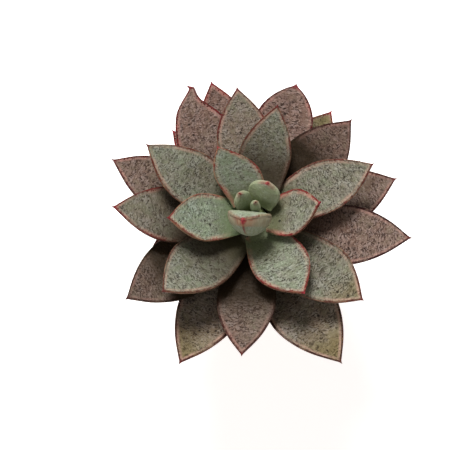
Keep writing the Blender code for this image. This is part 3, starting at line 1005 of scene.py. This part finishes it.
# %% Stem
def stem_finish():
    bark = Finish("stem_bark", specular_ior_level=0.2)
    place = bark.node("TexCoord").outputs["Object"]
    height = bark.split(place)[2]
    cork = bark.noise(place, 1.2 * MM, detail=4, roughness=0.7)
    broad = bark.noise(place, 4 * MM, detail=2)
    color = bark.mixed(cork.rise(0.35, 0.65), paint(96, 74, 54), paint(150, 126, 96))
    green = height.rise(STEM_TOP - 22 * MM, STEM_TOP - 6 * MM) * (0.6 + broad * 0.5)
    color = bark.mixed(green.clipped(), color, paint(104, 118, 76))
    bark.relief(cork, 0.4 * MM)
    return bark.paint_with(color, 0.85 - broad * 0.1)


# %% Profile and scars of the stem
ranks = np.concatenate([np.linspace(0.12, 4, 26), np.linspace(4.4, 14, 20)])
dome = np.stack([STEM_RADIUS * (1 - np.exp(-ranks / DOME_LEAVES)), STEM_TOP - LEAF_PITCH * ranks], axis=-1)
stem_bevel = 1.5 * MM
straight = resampled([
    dome[-1],
    (STEM_RADIUS, stem_foot + stem_bevel),
    (STEM_RADIUS - stem_bevel, stem_foot),
    (POLE_RADIUS, stem_foot),
], 0.5 * MM)
scar_rank = np.arange(LEAF_COUNT, LEAF_COUNT + 14)
scar_angle = np.radians(FIRST_AZIMUTH - GOLDEN_ANGLE * scar_rank)
scar_height = STEM_TOP - LEAF_PITCH * scar_rank


def scars(place):
    """A raised lip round a shallow hollow at each scar, as a ring-shaped wave of the distance to it."""
    angle = np.arctan2(place[..., 1], place[..., 0])[..., None]
    round_way = np.angle(np.exp(1j * (angle - scar_angle))) * STEM_RADIUS / (2.6 * MM)
    up_way = (place[..., 2, None] - scar_height) / (0.9 * MM)
    away = np.hypot(round_way, up_way)
    lips = np.exp(-((away - 1) / 0.35) ** 2).max(-1) - 0.6 * np.exp(-(away / 0.6) ** 2).max(-1)
    return 0.22 * MM * lips + 0.08 * MM * bumps(place, 1.1 * MM, 41) - 0.15 * MM


stem = tube_mesh("stem_bark", turned_rings(np.vstack([dome[:-1], straight]), 72, scars), stem_finish())
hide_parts("stem")
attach(stem, "root")
print("stem:", len(stem.data.polygons), "faces,", len(scar_rank), "scars")

# %% [markdown]
# ## Stage, light and camera
# A pale sheet under the pot, one broad soft light above, a weaker one from the side, and a sky that is
# bright at the horizon give the even light of a studio table. The camera looks down steeply.

# %% Floor
def stage_finish():
    pale = Finish("pale_floor", roughness=0.9, specular_ior_level=0.1)
    pale.surface.inputs["Base Color"].default_value = (0.93, 0.93, 0.93, 1)
    pale.surface.inputs["Emission Color"].default_value = (1.0, 1.0, 1.0, 1)
    pale.surface.inputs["Emission Strength"].default_value = 0.72
    return pale.material


FLOOR_REACH = 30.0
floor_mesh = bpy.data.meshes.new("floor")
floor_corners = [(x * FLOOR_REACH, y * FLOOR_REACH, 0) for x, y in ((-1, -1), (1, -1), (1, 1), (-1, 1))]
floor_mesh.from_pydata(floor_corners, [], [(0, 1, 2, 3)])
floor_mesh.materials.append(stage_finish())
floor = bpy.data.objects.new("floor", floor_mesh)
bpy.context.scene.collection.objects.link(floor)
print("floor:", 2 * FLOOR_REACH, "m square")

# %% Sky
HORIZON_GLOW, OVERHEAD_GLOW = 1.0, 0.18
scene = bpy.context.scene
scene.view_settings.view_transform = "Standard"
scene.world = bpy.data.worlds.new("studio")
scene.world.use_nodes = True
sky_tree = scene.world.node_tree
sky = sky_tree.nodes["Background"]
sky.inputs["Color"].default_value = (1.0, 0.95, 0.88, 1)
facing = sky_tree.nodes.new("ShaderNodeTexCoord").outputs["Generated"]
height = sky_tree.nodes.new("ShaderNodeSeparateXYZ")
fade = sky_tree.nodes.new("ShaderNodeMapRange")
span = {"From Min": 0.12, "From Max": 0.4, "To Min": HORIZON_GLOW, "To Max": OVERHEAD_GLOW}
for socket, value in span.items():
    fade.inputs[socket].default_value = value
sky_tree.links.new(height.inputs[0], facing)
sky_tree.links.new(fade.inputs["Value"], height.outputs["Z"])
sky_tree.links.new(sky.inputs["Strength"], fade.outputs["Result"])

# %% Lamps
def area_light(name, place, target, size, power):
    """A soft round lamp at place that shines on target: its diameter in metres, its power in watts."""
    lamp = bpy.data.lights.new(name, "AREA")
    lamp.shape, lamp.size, lamp.energy = "DISK", size, power
    lamp.color = (1.0, 0.98, 0.94)
    holder = bpy.data.objects.new(name, lamp)
    holder.location = place
    holder.rotation_euler = (Vector(target) - Vector(place)).to_track_quat("-Z", "Y").to_euler()
    scene.collection.objects.link(holder)


heart = (0.0, 0.0, 0.085)
area_light("key", (-0.14, 0.55, 0.8), heart, 0.38, 10.2)
area_light("fill", (-0.7, -0.35, 0.7), heart, 0.6, 1.2)

# %% Camera
ELEVATION, DISTANCE = radians(71), 0.42
AIM_BELOW_TOP = 9.5 * MM
aim = Vector((0, 0, STEM_TOP - AIM_BELOW_TOP))
optics = bpy.data.cameras.new("camera")
optics.lens, optics.sensor_width = 80, 36
optics.shift_x, optics.shift_y = -0.0633, -0.0109
optics.clip_start, optics.clip_end = 0.01, 20
camera = bpy.data.objects.new("camera", optics)
camera.location = aim + DISTANCE * Vector((0, -cos(ELEVATION), sin(ELEVATION)))
camera.rotation_euler = (aim - camera.location).to_track_quat("-Z", "Y").to_euler()
scene.collection.objects.link(camera)
scene.camera = camera
print("camera at", [round(value, 3) for value in camera.location])
